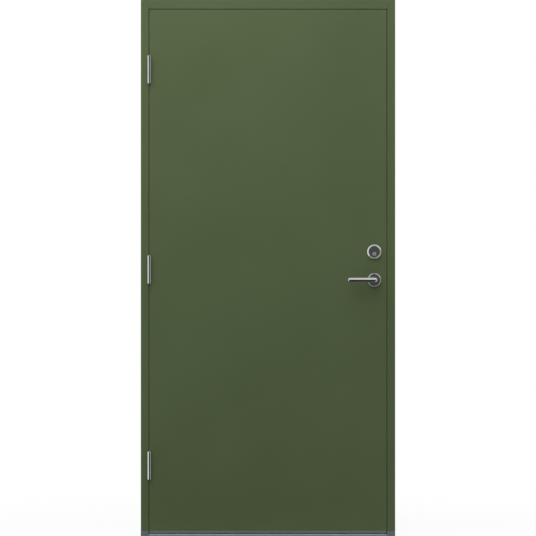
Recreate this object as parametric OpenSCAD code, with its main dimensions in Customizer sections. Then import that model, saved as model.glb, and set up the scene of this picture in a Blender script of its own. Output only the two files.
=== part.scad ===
// Exterior door with its frame: a flat insulated leaf that opens outward on three lift-off hinges,
// a mortise lock with latch and dead bolt, lever handles, a key cylinder and an aluminium threshold.
// Seen from outside, +X is to the right, +Z is up and +Y leads into the house. The origin is the
// middle of the threshold's underside.

/* [Frame] */
// Overall width of the frame
frame_w = 990; // [890:10:1190]
// Overall height, from the floor to the top of the frame
frame_h = 2090; // [2000:10:2390]
// Depth of the frame, from its outer to its inner face
frame_d = 115; // [105:1:150]
// Width of a jamb, seen from outside
jamb_face = 31; // [26:0.5:45]
// Height of the head, seen from outside
head_face = 38; // [28:0.5:60]
// Width of the stop that the leaf closes against
stop_w = 15; // [13:0.5:20]
// Height of the head above the tops of the jambs
head_lap = 21; // [12:0.5:24]
// Radius of the eased edges of frame and leaf
edge_r = 2; // [0.5:0.25:3]
// Bevel along the joints of head and jambs
joint_bevel = 0.8; // [0.2:0.1:1]

/* [Leaf] */
// Thickness of the leaf
leaf_t = 56; // [50:1:64]
// Gap between leaf and frame at the sides and the top
edge_gap = 2.5; // [2.5:0.5:4]
// Height of the leaf above the floor
leaf_lift = 13; // [11:0.5:16]
// Thickness of each face sheet
skin_t = 4; // [2:0.5:6]
// How far the outer face sheet runs past the stiles and the top rail
skin_over = 0.8; // [0:0.1:1]
// Width of the hinge stile
hinge_stile_w = 70; // [60:1:110]
// Width of the lock stile
lock_stile_w = 110; // [100:1:140]
// Height of the top rail
top_rail_h = 70; // [40:1:150]
// Height of the bottom rail
bottom_rail_h = 100; // [60:1:200]
// Height of the strip along the bottom of the leaf
strip_h = 9; // [6:0.5:12]
// Wall of that strip
strip_wall = 1.6; // [1.2:0.1:2]
// Width of the drip seal under the strip
drip_w = 7; // [5:0.5:10]
// Thickness of the drip seal
drip_t = 1.6; // [1:0.1:2]
// Space between the drip seal and the threshold's lip
drip_gap = 0.8; // [0.5:0.1:1.5]
// Height of the tongue that holds the strip in the leaf
tongue_h = 14; // [8:1:20]
// Thickness of that tongue
tongue_t = 6; // [4:0.5:10]

/* [Threshold] */
// Height of the front lip
lip_h = 9.5; // [7:0.5:10]
// Bevel along the top of the lip
lip_bevel = 1.2; // [0.5:0.1:2]
// Rise of the bed under the leaf, from the lip to the upstand
bed_rise = 1; // [0.5:0.5:1.5]
// Height of the upstand behind the leaf
upstand_h = 28; // [26:1:34]
// Depth of the outer profile's upstand
upstand_d = 18; // [16:1:20]
// Height of the inner edge
inner_edge_h = 21; // [20:0.5:24]
// Height of the feet of the jambs
foot_h = 19.5; // [16:0.5:19.5]
// Wall of the hollow profiles
sill_wall = 2.2; // [1.6:0.1:2.4]
// Depth of the plastic bar between the two profiles
break_d = 12; // [8:1:16]

/* [Seals] */
// Space between leaf and stop
seal_gap = 5; // [4:0.25:6]
// Outer radius of the hollow bulb
seal_r = 3.6; // [3:0.1:4.2]
// Wall of the bulb
seal_wall = 0.9; // [0.6:0.1:1.2]
// Width of the seal's foot
seal_foot_w = 8.4; // [6:0.2:10]
// Thickness of the seal's foot
seal_foot_t = 1; // [0.6:0.1:1.5]
// Width of the groove that holds the seal
groove_w = 3; // [2.5:0.1:4]
// Depth of that groove
groove_d = 6; // [5:0.5:8]

/* [Hinges] */
// Length of a hinge
hinge_h = 110; // [100:1:130]
// Diameter of the knuckles
knuckle_d = 15; // [13:0.5:18]
// Space between knuckle and leaf face
knuckle_gap = 0.5; // [0.4:0.1:2]
// Diameter of the pin
pin_d = 9; // [7:0.5:10]
// Thickness of the metal over each end of the pin
knuckle_end = 5; // [3:0.5:8]
// Thickness of the plates
plate_t = 2.5; // [2:0.1:3]
// Depth of the plates behind the outer face
plate_d = 32; // [28:1:36]
// Radius of the plates' inner corners
plate_corner_r = 8; // [4:0.5:10]
// Thickness of the washer between the knuckles
washer_t = 2; // [1:0.5:3]
// Height of the bottom hinge's middle
hinge_bottom_z = 276; // [250:1:400]
// Height of the middle hinge's middle
hinge_middle_z = 1038.5; // [900:0.5:1300]
// Distance from the top of the frame to the top hinge's middle
hinge_top_drop = 273; // [240:1:400]

/* [Lock] */
// Distance from the edge of the leaf to the spindle
backset = 48; // [46:1:60]
// Width of the forend
forend_w = 22; // [20:1:26]
// How far the forend and the strike plate run past each end of the lock case
forend_over = 25.5; // [24:0.5:32]
// Thickness of the forend
forend_t = 3; // [2:0.5:4]
// Thickness of the lock case
case_t = 15; // [14.5:0.5:18]
// How far the lock case runs past the spindle and past the cylinder's middle
case_margin = 37; // [33:0.5:42]
// Depth of the lock case behind the spindle
case_behind = 31; // [28:1:40]
// Wall of the lock case
case_wall = 1.5; // [1:0.1:1.6]
// Length of the latch bolt's head along the edge
latch_h = 30; // [24:1:34]
// How far the latch bolt stands out at rest
latch_throw = 11; // [10.5:0.5:12]
// Height of the latch bolt above the spindle
latch_rise = 12.5; // [11:0.5:14]
// Length of the latch bolt's head behind the forend's face
latch_body = 22; // [18:1:24]
// Length of the dead bolt's head along the edge
bolt_h = 32; // [26:1:36]
// Travel of the dead bolt
bolt_throw = 20; // [16:1:22]
// Depth of the dead bolt's middle below the key plug
bolt_drop = 15; // [14:0.5:18]
// Length of the dead bolt's head
bolt_body = 30; // [26:1:32]
// Width of the strike plate
strike_w = 25; // [22:1:28]
// Thickness of the strike plate
strike_t = 3; // [2:0.5:4]
// Radius of the follower's hub
follower_r = 9.5; // [9:0.25:10]
// Length of the follower's arm, from the spindle's middle
arm_r = 16; // [15.5:0.25:16.5]
// Width of the follower's arm
arm_w = 7; // [5:0.5:8]
// Radius of the bolt cam's hub
cam_r = 9; // [8:0.25:9.25]
// Diameter of the cam's driving pin
cam_pin_d = 5; // [4:0.5:6]
// Diameter of the latch spring
spring_d = 7; // [6:0.5:8]
// Diameter of the spring's wire
spring_wire = 0.9; // [0.7:0.1:1]

/* [Handle] */
// Height of the spindle
handle_z = 998; // [950:0.5:1100]
// Width of the square spindle
spindle_w = 8; // [7:0.5:9]
// Diameter of the roses
rose_d = 52; // [50:0.5:60]
// Thickness of the roses
rose_t = 9; // [7:0.5:12]
// Width of the roses' bevelled rim
rose_bevel = 3; // [2:0.5:5]
// Diameter of the lever's round bar
lever_d = 22; // [18:0.5:24]
// Distance from the spindle to the lever's tip
lever_len = 104; // [90:1:140]
// Distance from the leaf to the middle of the lever's grip
lever_reach = 52; // [48:1:60]
// Radius of the lever's elbow
elbow_r = 13; // [13:1:24]
// Radius of the lever's rounded tip
tip_r = 6.5; // [2:0.5:8]
// Diameter of the lever's stub that turns in the rose
stub_d = 16; // [14:0.5:17]
// Distance from the spindle to each rose bolt
rose_bolt_r = 19.5; // [19.5:0.25:21]

/* [Cylinder] */
// Height of the cylinder ring's middle above the spindle
cylinder_rise = 110; // [105:0.5:118]
// Diameter of the ring against the leaf
ring_d = 55.5; // [52:0.5:62]
// Width of the ring's bevelled rim
ring_bevel = 5; // [3:0.25:5.5]
// Height of the ring
ring_h = 11; // [9:0.5:15]
// Thickness of the ring's web that the cylinder clamps
ring_web = 3; // [2:0.5:4]
// Diameter of the cylinder's face
face_d = 43.5; // [40:0.5:44.5]
// Diameter of the cylinder behind its face
barrel_d = 34; // [33:0.5:36]
// Diameter of the key plug
plug_d = 14.5; // [12:0.5:15]
// Depth of the key plug's middle below the ring's middle
plug_drop = 8.5; // [8:0.25:9]
// Width of the keyway
keyway_w = 3; // [1.6:0.2:3.4]
// Height of the keyway
keyway_h = 9; // [7:0.5:10]
// Depth of the keyway
keyway_d = 22; // [15:1:26]
// Diameter of the thumb turn's rose
turn_rose_d = 52; // [50:0.5:60]
// Thickness of the thumb turn's rose
turn_rose_t = 8; // [7:0.5:12]
// Diameter of the thumb turn's shaft
turn_shaft_d = 14; // [12:0.5:16]
// Height of the thumb turn's wing
wing_h = 36; // [28:1:44]
// Thickness of the wing
wing_t = 9; // [7:0.5:12]
// How far the wing stands out from its collar
wing_d = 18; // [14:1:22]
// Width of the flat tailpieces
tail_w = 9; // [7:0.5:10]
// Thickness of the flat tailpieces
tail_t = 2; // [1.5:0.1:3]

/* [Fixings] */
// Diameter of the sleeves that the frame is fixed through
sleeve_d = 20; // [18:0.5:22]
// Bore of the sleeves
sleeve_bore = 9; // [7:0.5:10]
// Width across the flats of the sleeves' hexagon socket
sleeve_hex = 12; // [11:0.5:14]
// Depth of the hexagon socket
sleeve_hex_d = 10; // [6:1:14]
// Distance of the sleeves in front of the stop
sleeve_ahead = 15.5; // [13:0.5:18]
// Heights of the lowest sleeves
sleeve_low_z = 150; // [100:1:180]
// Distance from the top of the frame to the highest sleeves
sleeve_top_drop = 140; // [100:1:160]
// Height of the lower middle sleeves
sleeve_mid_low_z = 600; // [500:1:800]
// Height of the upper middle sleeves
sleeve_mid_high_z = 1500; // [1300:1:1600]
// Diameter of the wood screws
screw_d = 4.5; // [4:0.25:5]
// Diameter of the wood screws' heads
screw_head_d = 9; // [8:0.25:10]
// Length of the wood screws
screw_len = 25; // [18:1:25]
// Length of the screws of the frame corners
corner_screw_len = 90; // [60:5:120]
// Diameter of the rose and cylinder bolts
bolt_d = 4; // [3.5:0.25:4.5]
// Diameter of those bolts' heads
bolt_head_d = 7; // [7:0.25:9]

/* [Clearances] */
// Clearance all round of parts that turn in a bore
run_clear = 0.08; // [0.03:0.01:0.1]
// Clearance all round of parts that slide
slide_clear = 0.3; // [0.2:0.05:0.5]
// Clearance all round of parts that are let into others
seat_clear = 0.1; // [0.05:0.05:0.2]
// Clearance in front of soft seals
seal_clear = 0.3; // [0.2:0.05:0.5]

/* [Hidden] */
$fn = 64;
eps = 0.5;

paint = [0.31, 0.36, 0.25];
steel = [0.72, 0.74, 0.74];
aluminium = [0.66, 0.69, 0.74];
grey_plastic = [0.45, 0.48, 0.48];
black_rubber = [0.09, 0.09, 0.09];
pine = [0.78, 0.65, 0.46];
foam = [0.9, 0.88, 0.8];
brass = [0.75, 0.6, 0.32];
black_plastic = [0.12, 0.12, 0.13];

window_room = 1;
latch_room = 2;
pocket_room = 1.5;
pocket_end = 2;
latch_nose = 2.5;
part_gap = 0.4;
tail_gap = 0.3;
hole_room = 0.5;
stub_room = 1.5;
collar_t = 4;
collar_step = 2;
wing_r = 5;
spindle_grip = 20;
face_sink = 1;
plug_sink = 0.5;
ring_fit = 0.2;
cam_wall = 1.5;

y_out = -frame_d / 2;
y_in = frame_d / 2;
x_side = frame_w / 2;
x_jamb = x_side - jamb_face;
x_stop = x_jamb - stop_w;
x_leaf = x_jamb - edge_gap;
y_leaf_in = y_out + leaf_t;
y_stop = y_leaf_in + seal_gap;
z_rebate = frame_h - head_face;
z_head_stop = z_rebate - stop_w;
z_leaf_top = z_rebate - edge_gap;
z_jamb_top = frame_h - head_lap;
z_skin = leaf_lift + strip_h;
bed_h = lip_h + bed_rise;
y_break = y_stop + upstand_d;
y_inner_sill = y_break + break_d;
seal_x = x_stop + stop_w / 2;
seal_head_z = z_head_stop + stop_w / 2;
sill_bevel = 1.5;
seal_sill_z = upstand_h - seal_foot_w / 2 - sill_bevel;
seal_end_gap = 0.5;
barb_w = 0.6;
barb_h = 1;

hinge_x = -x_leaf;
hinge_y = y_out - knuckle_d / 2 - knuckle_gap;
hinge_z = [hinge_bottom_z, hinge_middle_z, frame_h - hinge_top_drop];
plate_screws = [[12, -0.38], [22, -0.13], [12, 0.13], [22, 0.38]];
knuckle_bevel = 1.2;
pin_tip = 1.5;
washer_step = 1;

spindle_x = x_leaf - backset;
lock_y = (y_out + y_leaf_in) / 2;
cylinder_z = handle_z + cylinder_rise;
plug_z = cylinder_z - plug_drop;
lock_z = (handle_z + cylinder_z) / 2;
case_h = cylinder_rise + 2 * case_margin;
forend_h = case_h + 2 * forend_over;
strike_h = forend_h;
forend_x = x_leaf - forend_t;
case_x = spindle_x - case_behind;
case_in = case_t / 2 - case_wall;
head_t = 2 * case_in - 2 * slide_clear;
latch_z = handle_z + latch_rise;
latch_back = x_leaf - latch_body;
tail_low_z = handle_z + follower_r + 2 * part_gap;
tail_high_z = handle_z + arm_r - hole_room;
tail_y = [part_gap, 3.6];
arm_y = [-case_in + slide_clear, -part_gap];
hook_x = spindle_x - arm_w / 2 - part_gap;
hook_t = 3;
spring_z = handle_z + rose_bolt_r + 2.5;
spring_len = latch_throw + 4;
spring_turns = 4;
bolt_z = plug_z - bolt_drop;
crank_r = bolt_throw / 2 / sin(45);
fork_clear = 0.65;
fork_wall = 5;
fork_top_z = plug_z - cam_r - hole_room;
fork_low_z = plug_z - crank_r - cam_pin_d / 2 - 1;
fork_bar_h = 6;
cylinder_screw_x = 12;
cylinder_screw_z = cylinder_z + 4;
screw_fit = 0.05;
rose_bolt_len = leaf_t + rose_t + rose_t * 0.6;
cylinder_thread = 9;
cylinder_screw_len = turn_rose_t + leaf_t / 2 + case_t / 2 + cylinder_thread;
plate_screw_inset = 12;
corner_screw_y = [y_out * 0.6, y_in * 0.6];
sleeve_y = y_stop - sleeve_ahead;
sleeve_z = [sleeve_low_z, sleeve_mid_low_z, sleeve_mid_high_z, frame_h - sleeve_top_drop];

// Profiles and helpers

// Extrudes a profile drawn in Y and Z along X, centred
module along_x(length) {
    rotate([90, 0, 90]) linear_extrude(length, center = true) children();
}

// Extrudes a profile drawn in X and Z along Y, from y0 to y1
module along_y(y0, y1) {
    translate([0, y1, 0]) rotate([90, 0, 0]) linear_extrude(y1 - y0) children();
}

// Extrudes a profile drawn in X and Y along Z, from z0 to z1
module along_z(z0, z1) {
    translate([0, 0, z0]) linear_extrude(z1 - z0) children();
}

module block(x0, x1, y0, y1, z0, z1) {
    translate([x0, y0, z0]) cube([x1 - x0, y1 - y0, z1 - z0]);
}

// A cylinder on an axis along Y, from y0 to y1
module disc_y(x, z, r, y0, y1) {
    translate([x, y1, z]) rotate([90, 0, 0]) cylinder(h = y1 - y0, r = r);
}

// A solid of revolution about an axis along Y: radius in X, distance from the leaf's outer face in Y
module turned_out(x, z) {
    translate([x, y_out, z]) rotate([90, 0, 0]) rotate_extrude() children();
}

// Rectangle from the origin with the two corners on the X axis rounded
module eased_front(w, d, r) {
    translate([0, r]) square([w, d - r]);
    translate([r, 0]) square([w - 2 * r, d]);
    for (x = [r, w - r]) translate([x, r]) circle(r);
}

// Upright slot outline with round ends, centred
module slot_outline(w, h) {
    square([w, h - w], center = true);
    for (s = [-1, 1]) translate([0, s * (h - w) / 2]) circle(d = w);
}

// Rectangle with four round corners, centred
module round_rect(w, h, r) {
    square([w - 2 * r, h], center = true);
    square([w, h - 2 * r], center = true);
    for (i = [-1, 1], j = [-1, 1]) translate([i * (w / 2 - r), j * (h / 2 - r)]) circle(r);
}

// Countersunk screw along -Z with its head flush at the origin
module screw(d, head_d, length) {
    cone_h = (head_d - d) / 2;
    slot_w = head_d * 0.14;
    difference() {
        union() {
            translate([0, 0, -length + d]) cylinder(h = length - d, d = d);
            translate([0, 0, -length]) cylinder(h = d, d1 = d * 0.2, d2 = d);
            translate([0, 0, -cone_h]) cylinder(h = cone_h, d1 = d, d2 = head_d);
        }
        for (a = [0, 90]) {
            rotate(a) translate([0, 0, -cone_h / 4])
                cube([head_d * 0.55, slot_w, cone_h / 2 + eps], center = true);
        }
    }
}

// Room for such a screw
module screw_room(d, head_d, length) {
    cone_h = (head_d - d) / 2;
    translate([0, 0, -length]) cylinder(h = length, d = d + 2 * screw_fit);
    translate([0, 0, -cone_h]) cylinder(h = cone_h, d1 = d + 2 * screw_fit, d2 = head_d + 2 * screw_fit);
    cylinder(h = eps, d = head_d + 2 * screw_fit);
}

// Places of the screws of all hinge plates on the jamb (side -1) or on the leaf (side 1)
module at_hinge_screws(side) {
    face = side < 0 ? -x_jamb : -x_leaf;
    for (z = hinge_z, p = plate_screws) {
        translate([face, y_out + p[0], z + p[1] * hinge_h]) rotate([0, -side * 90, 0]) children();
    }
}

module at_strike_screws() {
    for (s = [-1, 1]) translate([x_jamb, lock_y, lock_z + s * (strike_h / 2 - plate_screw_inset)])
        rotate([0, -90, 0]) children();
}

module at_forend_screws() {
    for (s = [-1, 1]) translate([x_leaf, lock_y, lock_z + s * (forend_h / 2 - plate_screw_inset)])
        rotate([0, 90, 0]) children();
}

module at_head_screws() {
    for (s = [-1, 1], y = corner_screw_y) translate([s * (x_side - jamb_face / 2), y, frame_h]) children();
}

module at_sill_screws() {
    for (s = [-1, 1], y = corner_screw_y) {
        translate([s * (x_side - jamb_face / 2), y, 0]) rotate([180, 0, 0]) children();
    }
}

// Bores of the fixing sleeves, opened on the jambs' outer sides
module at_sleeves() {
    for (s = [-1, 1], z = sleeve_z) translate([s * x_jamb, sleeve_y, z]) rotate([0, s * 90, 0]) children();
}

module at_rose_bolts() {
    for (s = [-1, 1]) {
        translate([spindle_x, y_leaf_in + rose_t, handle_z + s * rose_bolt_r]) rotate([-90, 0, 0]) children();
    }
}

module at_cylinder_screws() {
    for (s = [-1, 1]) {
        translate([spindle_x + s * cylinder_screw_x, y_leaf_in + turn_rose_t, cylinder_screw_z])
            rotate([-90, 0, 0]) children();
    }
}

// Sections of a seal with its foot on the stop at Y = 0: bulb toward +Y, barbed stem in the groove
// toward -Y
module seal_foot() {
    translate([-seal_foot_w / 2, 0]) square([seal_foot_w, seal_foot_t]);
}

module seal_bulb() {
    bulb_y = seal_gap - seal_clear - seal_r;
    difference() {
        translate([0, bulb_y]) circle(seal_r);
        translate([0, bulb_y]) circle(seal_r - seal_wall);
        translate([-2 * seal_r, seal_foot_t / 2 - 4 * seal_r]) square([4 * seal_r, 4 * seal_r]);
    }
}

// Half outline of the stem, from the foot down to its end, repeated mirrored
module seal_stem() {
    stem = groove_w / 2 - barb_w;
    barb = groove_w / 2 - seat_clear;
    end = -groove_d + seal_end_gap;
    middle = end + groove_d / 2;
    half = [
        [stem, seal_foot_t / 2], [stem, middle], [barb, middle], [stem, middle - barb_h],
        [stem, end + barb_h], [barb, end + barb_h], [stem, end]
    ];
    polygon(concat(half, [for (i = [len(half) - 1:-1:0]) [-half[i][0], half[i][1]]]));
}

// Frame

// Right-hand jamb, bevelled where the head laps over it
module jamb_body() {
    difference() {
        along_z(foot_h, z_jamb_top) translate([x_jamb, y_out]) eased_front(jamb_face, frame_d, edge_r);
        translate([x_side, 0, 0]) along_x(4 * jamb_face) polygon([
            [y_out - eps, z_jamb_top - joint_bevel - eps], [y_out + joint_bevel + eps, z_jamb_top + eps],
            [y_out - eps, z_jamb_top + eps]
        ]);
    }
}

module sleeve_holes() {
    at_sleeves() translate([0, 0, -eps]) cylinder(h = jamb_face + 2 * eps, d = sleeve_d + 2 * screw_fit);
}

module corner_screw_holes() {
    at_head_screws() screw_room(screw_d, screw_head_d, corner_screw_len);
    at_sill_screws() screw_room(screw_d, screw_head_d, corner_screw_len);
}

module hinge_jamb() {
    color(paint) difference() {
        mirror([1, 0, 0]) jamb_body();
        for (z = hinge_z) plate_pocket(-x_jamb - plate_t, -x_jamb + eps, z);
        at_hinge_screws(-1) screw_room(screw_d, screw_head_d, screw_len);
        sleeve_holes();
        corner_screw_holes();
    }
}

module lock_jamb() {
    color(paint) difference() {
        jamb_body();
        strike_pocket();
        at_strike_screws() screw_room(screw_d, screw_head_d, screw_len);
        sleeve_holes();
        corner_screw_holes();
    }
}

// Recess for the strike plate and the pockets for latch and dead bolt behind it
module strike_pocket() {
    translate([x_jamb + strike_t / 2 - eps / 2, lock_y, lock_z]) rotate([90, 0, 90])
        linear_extrude(strike_t + eps, center = true)
            slot_outline(strike_w + 2 * seat_clear, strike_h + 2 * seat_clear);
    block(x_jamb, x_leaf + latch_throw + pocket_end,
        lock_y - head_t / 2 - window_room, lock_y + head_t / 2 + latch_room,
        latch_z - latch_h / 2 - pocket_room, latch_z + latch_h / 2 + pocket_room);
    block(x_jamb, x_leaf + bolt_throw + pocket_end,
        lock_y - head_t / 2 - window_room, lock_y + head_t / 2 + window_room,
        bolt_z - bolt_h / 2 - pocket_room, bolt_z + bolt_h / 2 + pocket_room);
}

// Head: runs over the tops of the jambs and fills the space between them
module frame_head() {
    color(paint) difference() {
        intersection() {
            along_x(frame_w) translate([y_out, z_rebate])
                mirror([1, -1]) eased_front(head_face, frame_d, edge_r);
            translate([-x_side, y_out]) along_z(z_rebate - eps, frame_h + eps)
                eased_front(frame_w, frame_d, edge_r);
        }
        for (s = [-1, 1]) translate([s * (x_jamb + x_side + eps) / 2, 0, 0]) along_x(jamb_face + eps) polygon([
            [y_out - eps, 0], [y_in + eps, 0], [y_in + eps, z_jamb_top], [y_out + joint_bevel, z_jamb_top],
            [y_out - eps, z_jamb_top + joint_bevel + eps]
        ]);
        at_head_screws() screw_room(screw_d, screw_head_d, corner_screw_len);
    }
}

// Stop strip on a jamb, with the groove for its seal
module jamb_stop(side) {
    color(paint) mirror([side < 0 ? 1 : 0, 0, 0]) along_z(foot_h, z_head_stop) difference() {
        translate([x_stop, y_stop]) square([stop_w, y_in - y_stop]);
        translate([seal_x - groove_w / 2, y_stop - eps]) square([groove_w, groove_d + eps]);
    }
}

// Stop strip under the head, over the ends of the other two
module head_stop() {
    color(paint) along_x(2 * x_jamb) difference() {
        translate([y_stop, z_head_stop]) square([y_in - y_stop, stop_w]);
        translate([y_stop - eps, seal_head_z - groove_w / 2]) square([groove_d + eps, groove_w]);
    }
}

// Threshold

// Outer profile: bevelled lip, bed that drains outward, upstand with the groove for its seal
module sill_outer_section() {
    bed_mid = (y_out + y_stop) / 2;
    difference() {
        polygon([
            [y_out, 0], [y_break, 0], [y_break, upstand_h], [y_stop + sill_bevel, upstand_h],
            [y_stop, upstand_h - sill_bevel], [y_stop, bed_h],
            [y_out + lip_bevel, lip_h], [y_out, lip_h - lip_bevel]
        ]);
        for (y0 = [y_out + sill_wall, bed_mid + sill_wall / 2]) {
            translate([y0, sill_wall])
                square([(y_stop - y_out) / 2 - 1.5 * sill_wall, lip_h - 2 * sill_wall]);
        }
        translate([y_stop + groove_d + sill_wall, sill_wall])
            square([upstand_d - groove_d - 2 * sill_wall, upstand_h - 2 * sill_wall]);
        translate([y_stop - eps, seal_sill_z - groove_w / 2]) square([groove_d + eps, groove_w]);
    }
}

// What is milled off the threshold under the jambs
module sill_end_cut() {
    for (s = [-1, 1]) {
        block(s < 0 ? -x_side - eps : x_stop, s < 0 ? -x_stop : x_side + eps, y_stop - eps, y_in + eps,
            foot_h, upstand_h + eps);
    }
    at_sill_screws() screw_room(screw_d, screw_head_d, corner_screw_len);
}

module sill_outer() {
    color(aluminium) difference() {
        along_x(frame_w) sill_outer_section();
        sill_end_cut();
    }
}

module sill_break() {
    color(black_plastic) difference() {
        along_x(frame_w) difference() {
            translate([y_break, 0]) square([break_d, upstand_h]);
            for (i = [0, 1]) {
                translate([y_break + sill_wall, sill_wall + i * (upstand_h - sill_wall) / 2])
                    square([break_d - 2 * sill_wall, (upstand_h - 3 * sill_wall) / 2]);
            }
        }
        sill_end_cut();
    }
}

module sill_inner() {
    color(aluminium) difference() {
        along_x(frame_w) difference() {
            polygon([
                [y_inner_sill, 0], [y_in, 0], [y_in, inner_edge_h - sill_bevel],
                [y_in - sill_bevel, inner_edge_h],
                [y_inner_sill + sill_wall, upstand_h], [y_inner_sill, upstand_h]
            ]);
            translate([y_inner_sill + sill_wall, sill_wall])
                square([y_in - y_inner_sill - 2 * sill_wall, inner_edge_h - 2 * sill_wall - sill_bevel]);
        }
        sill_end_cut();
    }
}

// Block that carries the front of a jamb on the bed of the threshold
module end_block(side) {
    color(grey_plastic) difference() {
        translate([side * (x_side - jamb_face / 2), 0, 0]) along_x(jamb_face)
            polygon([
                [y_out, lip_h], [y_out + lip_bevel, lip_h], [y_stop, bed_h], [y_stop, foot_h], [y_out, foot_h]
            ]);
        at_sill_screws() screw_room(screw_d, screw_head_d, corner_screw_len);
    }
}

// Seals

// Upright seal from z0 to z1
module seal(z0, z1) {
    along_z(z0, z1) mirror([0, 1]) seal_foot();
    along_z(z0, z1) mirror([0, 1]) seal_bulb();
    along_z(z0, z1) mirror([0, 1]) seal_stem();
}

module seal_side(side) {
    color(black_rubber) translate([side * seal_x, y_stop])
        seal(upstand_h + seal_clear, z_head_stop - seal_clear);
}

// Level seal between two ends at the same distance from the middle
module seal_level(z, end) {
    color(black_rubber) translate([0, y_stop, z])
        rotate([0, 90, 0]) seal(-end + seal_clear, end - seal_clear);
}

// Hinges

// Outline of a hinge plate in Y and Z, round at its inner corners
module plate_outline(grow) {
    r = plate_corner_r;
    h = hinge_h + 2 * grow;
    d = plate_d + grow;
    translate([0, -h / 2]) square([d - r, h]);
    translate([0, -h / 2 + r]) square([d, h - 2 * r]);
    for (s = [-1, 1]) translate([d - r, s * (h / 2 - r)]) circle(r);
}

module hinge_plate(x0, x1, z) {
    translate([(x0 + x1) / 2, y_out, z]) along_x(x1 - x0) plate_outline(0);
}

// Recess for a hinge plate, open to the outer face
module plate_pocket(x0, x1, z) {
    translate([(x0 + x1) / 2, y_out, z]) along_x(x1 - x0) plate_outline(seat_clear);
    block(x0, x1, y_out - eps, y_out + eps, z - hinge_h / 2 - seat_clear, z + hinge_h / 2 + seat_clear);
}

// Knuckle with bevelled ends and a blind bore, from z0 to z1; the bore is open at z0 or at z1
module knuckle(z0, z1, bore_d, open_low) {
    bore_0 = open_low ? z0 - eps : z0 + knuckle_end;
    bore_1 = open_low ? z1 - knuckle_end : z1 + eps;
    low_r = open_low ? knuckle_d / 2 : knuckle_d / 2 - knuckle_bevel;
    high_r = open_low ? knuckle_d / 2 - knuckle_bevel : knuckle_d / 2;
    translate([hinge_x, hinge_y, 0]) difference() {
        rotate_extrude() polygon([
            [0, z0], [low_r, z0], [knuckle_d / 2, z0 + knuckle_bevel],
            [knuckle_d / 2, z1 - knuckle_bevel], [high_r, z1], [0, z1]
        ]);
        translate([0, 0, bore_0]) cylinder(h = bore_1 - bore_0, d = bore_d);
    }
}

// Half of a hinge on the frame: plate in the jamb, lower knuckle
module frame_hinge(z) {
    z0 = z - hinge_h / 2;
    z1 = z - washer_t / 2;
    color(steel) difference() {
        union() {
            hinge_plate(-x_jamb - plate_t, -x_jamb, z);
            difference() {
                block(-x_jamb - plate_t, -x_jamb, hinge_y, y_out + eps, z0 + knuckle_bevel, z1);
                translate([hinge_x, hinge_y, z0]) cylinder(h = hinge_h, d = pin_d + 1);
            }
            knuckle(z0, z1, pin_d + 2 * screw_fit, false);
        }
        at_hinge_screws(-1) screw_room(screw_d, screw_head_d, screw_len);
    }
}

// Half of a hinge on the leaf: plate in the edge of the leaf, upper knuckle
module leaf_hinge(z) {
    z0 = z + washer_t / 2;
    z1 = z + hinge_h / 2;
    color(steel) difference() {
        union() {
            hinge_plate(-x_leaf, -x_leaf + plate_t, z);
            difference() {
                block(-x_leaf, -x_leaf + plate_t, hinge_y, y_out + eps, z0, z1 - knuckle_bevel);
                translate([hinge_x, hinge_y, z0 - eps]) cylinder(h = hinge_h, d = pin_d + 1);
            }
            knuckle(z0, z1, pin_d + 2 * run_clear, true);
        }
        at_hinge_screws(1) screw_room(screw_d, screw_head_d, screw_len);
    }
}

module hinge_pins() {
    z0 = -hinge_h / 2 + knuckle_end;
    z1 = hinge_h / 2 - knuckle_end - pin_tip;
    color(steel) for (z = hinge_z) translate([hinge_x, hinge_y, z]) rotate_extrude() polygon([
        [0, z0], [pin_d / 2, z0], [pin_d / 2, z1 - pin_tip], [pin_d / 2 - pin_tip, z1], [0, z1]
    ]);
}

module hinge_washers() {
    color(steel) for (z = hinge_z) translate([hinge_x, hinge_y, z]) difference() {
        cylinder(h = washer_t, d = knuckle_d - washer_step, center = true);
        cylinder(h = washer_t + eps, d = pin_d + 2 * run_clear, center = true);
    }
}

// Leaf

// Face sheet of the leaf with its edges eased, turned round for the inner side
module skin(half_w, z_top) {
    intersection() {
        along_z(z_skin, z_top) translate([-half_w, 0]) eased_front(2 * half_w, skin_t, edge_r);
        translate([0, 0, z_top]) mirror([0, 0, 1])
            along_x(2 * half_w) mirror([1, -1]) skin_edge(z_top - z_skin);
    }
}

// Section of a face sheet: eased at the top edge, square where it meets the strip
module skin_edge(h) {
    translate([0, edge_r]) square([h, skin_t - edge_r]);
    translate([edge_r, 0]) square([h - edge_r, skin_t]);
    translate([edge_r, edge_r]) circle(edge_r);
}

// Holes through the leaf for the spindle, the roses' bolts and the cylinder's screws
module leaf_holes() {
    disc_y(spindle_x, handle_z, stub_d / 2 + stub_room, y_out - eps, y_leaf_in + eps);
    at_rose_bolts() screw_room(bolt_d, bolt_d, rose_bolt_len + eps);
    at_cylinder_screws() screw_room(bolt_d, bolt_d, cylinder_screw_len + eps);
    disc_y(spindle_x, cylinder_z, barrel_d / 2 + hole_room, y_out - eps, lock_y);
    disc_y(spindle_x, plug_z, turn_shaft_d / 2 + hole_room, lock_y, y_leaf_in + eps);
}

module outer_skin() {
    color(paint) difference() {
        translate([0, y_out, 0]) skin(x_leaf + skin_over, z_leaf_top + skin_over);
        leaf_holes();
        for (z = hinge_z) plate_pocket(-x_leaf - skin_over - eps, -x_leaf + plate_t, z);
    }
}

module inner_skin() {
    color(paint) difference() {
        translate([0, y_leaf_in, 0]) mirror([0, 1, 0]) skin(x_leaf, z_leaf_top);
        leaf_holes();
    }
}

// Groove across the bottom of the leaf for the strip's tongue
module tongue_groove() {
    block(-x_leaf - eps, x_leaf + eps, lock_y - tongue_t / 2, lock_y + tongue_t / 2,
        z_skin - eps, z_skin + tongue_h + hole_room);
}

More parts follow.
